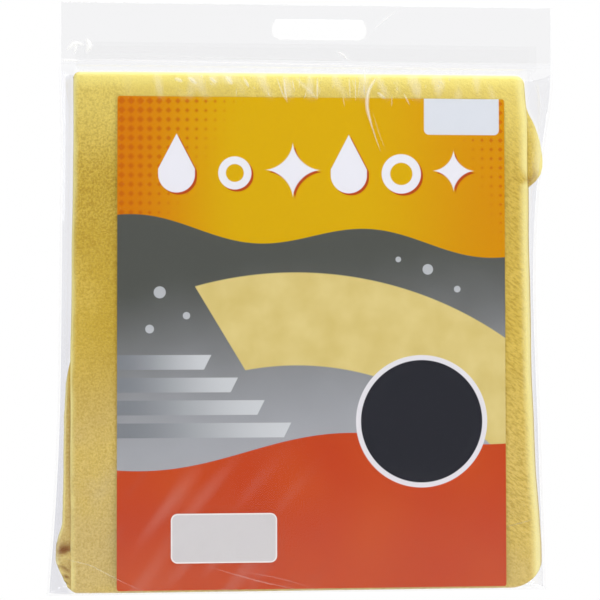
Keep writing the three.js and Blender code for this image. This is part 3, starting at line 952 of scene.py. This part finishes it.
def film_tint(x, z):
    """How grey the film is where nothing lies behind it: beside the leather and in the header."""
    down = (skin_top - z) / skin_height
    left_gap = skin_left + drawn_in(down) - curl_reach * along(reach_shares, down) - x
    right_gap = x - skin_right - flare_out * along(flare_shares, down) - lump_out * along(lump_shares, down)
    at_left = smooth(*gap_start, left_gap) * along(left_tint_shares, down)
    at_right = smooth(*gap_start, right_gap) * along(right_tint_shares, down)
    return mix(header_tint, max(at_left, at_right), smooth(*header_end, z))


def film_edges(z):
    """The film's left and right edges at a height."""
    left = -bag_half - left_flare * along(left_shares, bag_down(z)) + bead_wide + film_clear
    right = bag_half - waist_pull * along(pull_shares, bag_down(z)) - bead_wide - film_clear
    return left, right


def film_depth(x, z, front):
    """How far back the film's panel lies at a place."""
    side = -1 if front else 1
    lowest = crease_top + film_clear
    left, right = film_edges(z)
    edge_gap = max(min(x - left, right - x), 0)
    over = math.sqrt(max(1 - (1 - min(edge_gap / shoulder, 1)) ** 2, 0))
    up = min((z - lowest) / (foot_round_front if front else foot_round_back), 1)
    over *= math.sqrt(max(1 - (1 - up) ** 2, 0))
    seam = seam_depth * smooth(weld_foot, weld_foot - sweep_back, z) + side * seam_split
    depth = mix(header_film, front_film, smooth(weld_foot, card_high.z, z)) if front else back_film
    calm = smooth(0, calm_beside, edge_gap) * min((z - lowest) / calm_above, 1)
    return mix(seam, depth, over) + side * film_relief(x, z, front) * calm


# Columns are drawn together over the shoulders and rows over the foot
column_draw_share = 0.035
row_draw_power = 1.12


def film_panel(name, front, top, columns, rows):
    """One panel of film as a sheet with its thickness, its milkiness and its tint."""
    shape = bmesh.new()
    bmesh.ops.create_grid(shape, x_segments=columns, y_segments=rows, size=0.5)
    milk_and_glint = shape.verts.layers.float.new("milk_and_glint")
    tint = shape.verts.layers.float.new("tint")
    for vert in shape.verts:
        u = vert.co.x + 0.5
        u -= column_draw_share * math.sin(2 * math.pi * u)
        z = mix(crease_top + film_clear, top, (vert.co.y + 0.5) ** row_draw_power)
        x = mix(*film_edges(z), u)
        vert.co = Vector((x, film_depth(x, z, front), z))
        vert[milk_and_glint] = film_haze(x, z, front)
        vert[tint] = film_tint(x, z)
    bmesh.ops.recalc_face_normals(shape, faces=shape.faces)
    piece = finish_mesh(name, shape)
    wall = piece.modifiers.new("film_thickness", "SOLIDIFY")
    wall.thickness = film_thick
    wall.offset = 0
    return piece


def baked(piece):
    """Puts what a piece's modifiers make into its own mesh."""
    bpy.context.view_layer.update()
    data = bpy.data.meshes.new_from_object(piece.evaluated_get(bpy.context.evaluated_depsgraph_get()))
    piece.modifiers.clear()
    piece.data = data


def spline(points, steps):
    """Points of a smooth curve through the points of a path."""
    ends = [points[0] * 2 - points[1], *points, points[-1] * 2 - points[-2]]
    curve = []
    for a, b, c, d in zip(ends, ends[1:], ends[2:], ends[3:]):
        for n in range(steps):
            at = n / steps
            curve.append(0.5 * (2 * b + (c - a) * at + (2 * a - 5 * b + 4 * c - d) * at ** 2
                                + (3 * b - a - 3 * c + d) * at ** 3))
    return [*curve, points[-1]]


# How far across a crease each of its lines of points stands, and how far up, as shares
tent_shares = ((-1, 0), (-0.4, 0.45), (0, 1), (0.4, 0.45), (1, 0))
crease_steps = 10
crease_end_share = 0.05
crease_foot_share = 0.25


def crease(shape, milk_and_glint, front, path, half_width, height, whiteness):
    """A sharp fold in the film: a low tent that stands on it along a path and runs out at both ends."""
    side = -1 if front else 1
    curve = spline([Vector(point) * MM for point in path], crease_steps)
    last = len(curve) - 1
    lines = len(tent_shares) - 1
    tent = bmesh.ops.create_grid(shape, x_segments=lines, y_segments=last, size=0.5)["verts"]
    for vert in tent:
        n = round((vert.co.y + 0.5) * last)
        across_share, up_share = tent_shares[round((vert.co.x + 0.5) * lines)]
        run = (curve[min(n + 1, last)] - curve[max(n - 1, 0)]).normalized()
        beside = Vector((-run.y, run.x)) * side
        full = math.sin(math.pi * n / last) ** 0.5
        place = curve[n] + beside * half_width * MM * across_share * max(full, crease_end_share)
        lift = film_thick + height * MM * up_share * full
        vert.co = (place.x, film_depth(place.x, place.y, front) + side * lift, place.y)
        vert[milk_and_glint] = whiteness * full * mix(crease_foot_share, 1, up_share)
        for face in vert.link_faces:
            face.smooth = True


def add_creases(piece, front, creases):
    """Puts a table of creases on a panel."""
    shape = bmesh.new()
    shape.from_mesh(piece.data)
    milk_and_glint = shape.verts.layers.float["milk_and_glint"]
    for values in creases:
        crease(shape, milk_and_glint, front, *values)
    shape.to_mesh(piece.data)
    shape.free()


# Each crease has its path in mm, its half width and height in mm, and how milky it is, which is also its
# painted glint
front_creases = [
    (((40.6, -35), (39.8, -36.4), (36.7, -41.9), (35.5, -48), (35.8, -54.1), (37.3, -60.1), (39, -66)),
     1.3, 0.6, 0.6),
    (((35.5, -50.4), (37, -58.9), (39.1, -66.2), (41.5, -73.5), (44, -80)), 0.5, 0.35, 0.4),
    (((38.5, -54), (42.1, -66.2), (47, -79.5)), 0.35, 0.25, 0.16),
    (((34, -29.7), (34.3, -38.3)), 0.8, 0.4, 0.45),
    (((-81, -36.2), (-78.3, -36.9), (-75.6, -38.2)), 1.5, 0.4, 0.4),
    (((-73, -35.4), (-70, -37), (-67.2, -39.6)), 1.5, 0.4, 0.5),
    (((-60, -35.4), (-57.8, -36.8), (-55.6, -39)), 1.4, 0.4, 0.42),
    (((-50.4, -34.4), (-48, -36.6), (-46, -39.8)), 1.9, 0.4, 0.5),
    (((-38.8, -35.5), (-36, -41.4)), 1.1, 0.4, 0.45),
    (((-19.5, -34.1), (-16.7, -42.4), (-13.5, -49.4)), 0.6, 0.4, 0.4),
    (((-15, -33.5), (-14.3, -42.4), (-12.9, -50.4)), 0.8, 0.4, 0.5),
    (((-8.6, -34.6), (-1.6, -41), (6, -48.5)), 1.6, 0.4, 0.22),
    (((5.3, -34), (5.3, -48.5)), 0.9, 0.4, 0.42),
    (((24.4, -33.4), (25.3, -47.8)), 0.5, 0.4, 0.36),
    (((28.2, -32.8), (28.6, -49.6)), 0.45, 0.3, 0.4),
    (((31.4, -34), (29.8, -47)), 0.5, 0.3, 0.3),
    (((41.4, -43.1), (46.8, -47.4)), 1.3, 0.5, 0.4),
    (((57.6, -43.2), (61.6, -51.3)), 0.55, 0.4, 0.4),
    (((-148.4, -26.2), (-143, -25.9), (-136.5, -26.4)), 0.9, 0.4, 0.7),
    (((-146, -322.6), (-140.6, -324.2), (-130.6, -326.9), (-118.8, -333), (-109.9, -337.6), (-97, -343.5)),
     0.28, 0.2, 0.3),
    (((-62, -328), (-32, -337), (-4, -343.5)), 0.4, 0.25, 0.2),
    (((-44, -331), (-18, -336), (2, -342)), 0.3, 0.2, 0.15),
    (((118, -307), (128, -304.5), (136, -302.5)), 0.4, 0.3, 0.2),
    (((38, -7), (46, 0.5), (56, 8)), 0.8, 0.5, 0.3),
    (((17, -19), (21, -21), (25, -25)), 1.1, 0.6, 0.45),
    (((-149, -25.2), (-60, -26.2), (40, -27.6), (148, -29.2)), 0.35, 0.15, 0.5),
    (((-149, -22.4), (-60, -23.4), (40, -24.8)), 0.3, 0.12, 0.25),
    (((136, -32), (141, -44), (143.5, -60)), 0.5, 0.3, 0.2),
    (((140, -34), (133, -52), (137, -74)), 0.4, 0.3, 0.14),
    (((-145.5, -20), (-140, -15.8), (-134, -16.6)), 1.5, 0.5, 0.7),
    (((-142, -14), (-139.5, -18), (-141, -22)), 1, 0.5, 0.65),
    (((-133.5, -12.5), (-131.5, -17), (-133.5, -21.5)), 1.9, 0.6, 0.8),
]
back_creases = [
    (((-95, -60), (-60, -110), (-48, -170)), 0.5, 0.3, 0.2),
    (((70, -50), (96, -96), (104, -150)), 0.5, 0.3, 0.2),
    (((-120, -300), (-70, -322), (-20, -336)), 0.45, 0.3, 0.25),
    (((110, -250), (60, -290), (40, -330)), 0.4, 0.3, 0.2),
]
# The short folds that gather below the weld, a few dozen of uneven length and strength, in mm
fold_seed, fold_count = 7, 36
fold_places = (-66, -38, -14, 8, 30, 52, 84)
fold_spread = 9
fold_top, fold_drop = -33.5, 13
short_folds, long_folds, long_every = (1, 3), (3, 10), 3
fold_lean, middle_lean_share = 1.1, 0.3
# Their whiteness is milk and painted glint together
fold_half_widths, fold_heights, fold_whites = (0.2, 0.55), (0.2, 0.5), (0.1, 0.45)
chance = random.Random(fold_seed)
for n in range(fold_count):
    x = chance.choice(fold_places) + chance.gauss(0, fold_spread)
    z = fold_top - chance.uniform(0, 1) ** 2 * fold_drop
    long = chance.uniform(*(short_folds if n % long_every else long_folds))
    lean = chance.gauss(0, fold_lean)
    path = ((x, z), (x + lean * middle_lean_share, z - long / 2), (x + lean, z - long))
    sizes = [chance.uniform(*limits) for limits in (fold_half_widths, fold_heights, fold_whites)]
    front_creases.append((path, *sizes))

film_clarity = 0.996
back_clarity = 0.975
header_clarity = 0.975
flap_clarity = 0.985
free_film = (0.925, 0.925, 0.94, 1)
# The milk colour is also the colour of the painted glints
milk_and_glint_colour = (0.985, 0.98, 0.95, 1)
film_roughness = 0.06
film_bend = 1.35
film_gloss_loss = 0.022
film_most_gloss = 0.08


def see_through(tree, colour):
    return made(tree, "BsdfTransparent", {"Color": colour})


def film_material(name, clarity):
    """Clear film: what is behind it shows through, it glosses, and where it is milky, or carries a painted
    glint, it is pale.
    """
    material, tree = new_material(name)
    tint, milk_and_glint = attribute(tree, "tint"), attribute(tree, "milk_and_glint")
    clear = see_through(tree, tint.blend((clarity, clarity, clarity, 1), free_film))
    gloss = made(tree, "BsdfGlossy", {"Color": white, "Roughness": film_roughness})
    mirror = Field(tree, made(tree, "Fresnel", {"IOR": film_bend})) - film_gloss_loss
    glossed = mixed_shader(tree, mirror.most(0).least(film_most_gloss), clear, gloss)
    show(tree, mixed_shader(tree, milk_and_glint, glossed, made(tree, "BsdfDiffuse", {"Color": milk_and_glint_colour})))
    return material


slot_left, slot_right = -22 * MM, 35 * MM
slot_high, slot_low = 0.0, -11.4 * MM
slot_corner = 4.8 * MM
corner_steps = 10
punch_deep = 20 * MM
front_columns, front_rows = 190, 230
front_panel = film_panel("bag_front_film", True, header_top, front_columns, front_rows)
front_panel.data.materials.append(film_material("clear_film", film_clarity))
shape = bmesh.new()
bmesh.ops.create_cube(shape, size=1)
bmesh.ops.scale(shape, verts=shape.verts, vec=(slot_right - slot_left, punch_deep, slot_high - slot_low))
slot_middle = ((slot_left + slot_right) / 2, 0, (slot_high + slot_low) / 2)
bmesh.ops.translate(shape, verts=shape.verts, vec=slot_middle)
upright = [edge for edge in shape.edges if abs(edge.verts[0].co.y - edge.verts[1].co.y) > MM]
bmesh.ops.bevel(
    shape, geom=upright, offset=slot_corner, segments=corner_steps, profile=0.5, affect="EDGES", material=-1)
punch = finish_mesh("slot_punch", shape, smooth_faces=False)
cut = front_panel.modifiers.new("hang_slot", "BOOLEAN")
cut.object = punch
cut.operation = "DIFFERENCE"
baked(front_panel)
bpy.data.objects.remove(punch)
add_creases(front_panel, True, front_creases)
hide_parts("bag_front_panel")
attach(front_panel, "bag")

back_columns, back_rows = 150, 170
back_panel = film_panel("bag_back_film", False, back_top, back_columns, back_rows)
back_panel.data.materials.append(film_material("back_film", back_clarity))
baked(back_panel)
add_creases(back_panel, False, back_creases)
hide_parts("bag_back_panel")
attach(back_panel, "bag")

# The header's back ply, the weld below it, the hot-cut side edges, the foot fold, the closing flap
# and its adhesive strip: the same film, two layers of it, melted together or stuck, so whiter
dress("header_back_ply", film_material("header_film", header_clarity))
dress("closing_flap", film_material("flap_film", flap_clarity))
speck_range = (0.3, 0.7)
thin_share = 0.8


def milky_material(name, body, colour, roughness):
    """Film that is melted or glued: part of it shows through, the rest is pale and glossy."""
    material, tree = new_material(name)
    specks = noise_field(tree, own_place(tree), scale=180, detail=3)
    pale = made(tree, "BsdfPrincipled", {"Base Color": colour, "Roughness": roughness})
    clear = see_through(tree, (film_clarity, film_clarity, film_clarity, 1))
    show(tree, mixed_shader(tree, specks.ramp(*speck_range, body * thin_share, body), clear, pale))
    return material


melted = milky_material("melted_film", 0.1, paint(246, 247, 250), 0.2)
for node in ("side_weld_left", "side_weld_right", "bottom_fold", "header_weld"):
    dress(node, melted)
dress("flap_adhesive_strip", milky_material("adhesive", 0.01, paint(244, 243, 236), 0.35))
